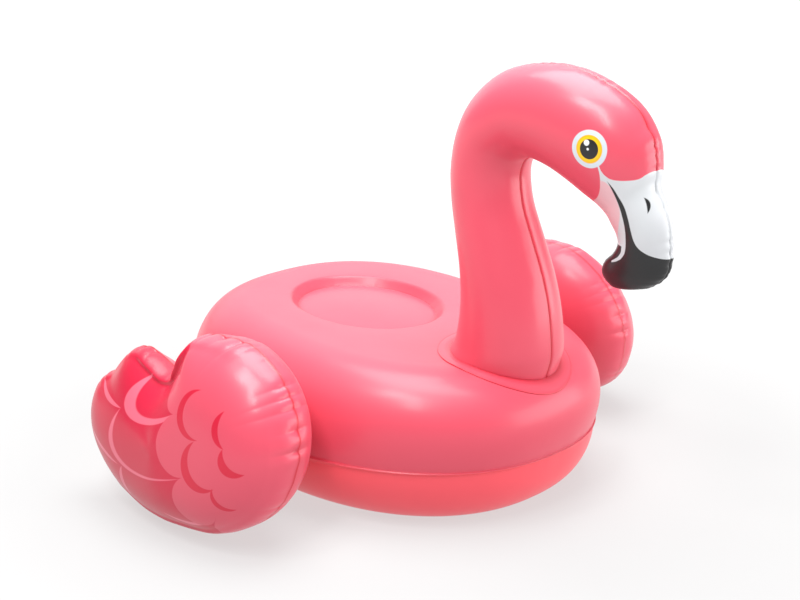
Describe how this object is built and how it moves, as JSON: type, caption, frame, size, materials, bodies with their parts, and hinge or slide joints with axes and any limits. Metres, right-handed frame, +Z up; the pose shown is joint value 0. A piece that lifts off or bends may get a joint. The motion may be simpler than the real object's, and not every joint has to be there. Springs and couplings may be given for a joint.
{
  "type": "inflatable ride-on pool float",
  "caption": "Inflatable ride-on pool float shaped as a long-necked wading bird, with an oval seat recess, upright neck, hooked beak and folded wings.",
  "frame": {"origin": "on the floor, at the middle of the float's length and width", "axes": "+X towards the beak, +Y to the bird's left, +Z up"},
  "size_m": [1.2592, 1.3678, 0.9652],
  "materials": {
    "pink_film": "soft glossy vinyl film, pink",
    "printed_neck_film": "soft glossy vinyl film, pink, printed with ringed eyes and a white and black beak",
    "printed_wing_film": "soft glossy vinyl film, light pink shoulder and crimson feathers printed with crescents",
    "clear_vinyl": "soft translucent moulded vinyl"
  },
  "bodies": {
    "float": {"body_top_panel": "pink_film", "body_bottom_panel": "pink_film", "seat_baffle": "pink_film", "neck_left_panel": "printed_neck_film", "neck_right_panel": "printed_neck_film", "neck_base_flange": "pink_film", "left_wing_outer_panel": "printed_wing_film", "left_wing_inner_panel": "pink_film", "left_wing_weld_ring": "pink_film", "right_wing_outer_panel": "printed_wing_film", "right_wing_inner_panel": "pink_film", "right_wing_weld_ring": "pink_film", "body_valve_base": "clear_vinyl", "neck_valve_base": "clear_vinyl"},
    "body_valve_stem": {"body_valve_stem": "clear_vinyl", "body_valve_strap": "clear_vinyl"},
    "body_valve_plug": {"body_valve_plug": "clear_vinyl"},
    "body_valve_flap": {"body_valve_flap": "clear_vinyl"},
    "neck_valve_stem": {"neck_valve_stem": "clear_vinyl", "neck_valve_strap": "clear_vinyl"},
    "neck_valve_plug": {"neck_valve_plug": "clear_vinyl"},
    "neck_valve_flap": {"neck_valve_flap": "clear_vinyl"}
  },
  "joints": [
    {"name": "body_valve_stem_slide", "type": "slide", "parent": "float", "child": "body_valve_stem", "axis": [-0.9311, 0, 0.3646], "range_m": [0, 0.014]},
    {"name": "body_valve_plug_slide", "type": "slide", "parent": "body_valve_stem", "child": "body_valve_plug", "axis": [-0.9311, 0, 0.3646], "range_m": [0, 0.02], "deforming": ["body_valve_strap"]},
    {"name": "body_valve_flap_hinge", "type": "hinge", "parent": "body_valve_stem", "child": "body_valve_flap", "pos_m": [-0.5943, 0, 0.25016], "axis": [0, 1, 0], "range_deg": [0, 60], "stiffness_Nm_per_rad": 0.0005},
    {"name": "neck_valve_stem_slide", "type": "slide", "parent": "float", "child": "neck_valve_stem", "axis": [0, 0.9945, 0.1045], "range_m": [0, 0.014]},
    {"name": "neck_valve_plug_slide", "type": "slide", "parent": "neck_valve_stem", "child": "neck_valve_plug", "axis": [0, 0.9945, 0.1045], "range_m": [0, 0.02], "deforming": ["neck_valve_strap"]},
    {"name": "neck_valve_flap_hinge", "type": "hinge", "parent": "neck_valve_stem", "child": "neck_valve_flap", "pos_m": [0.2209, 0.08303, 0.42758], "axis": [0, 0.1045, -0.9945], "range_deg": [0, 60], "stiffness_Nm_per_rad": 0.0005}
  ]
}
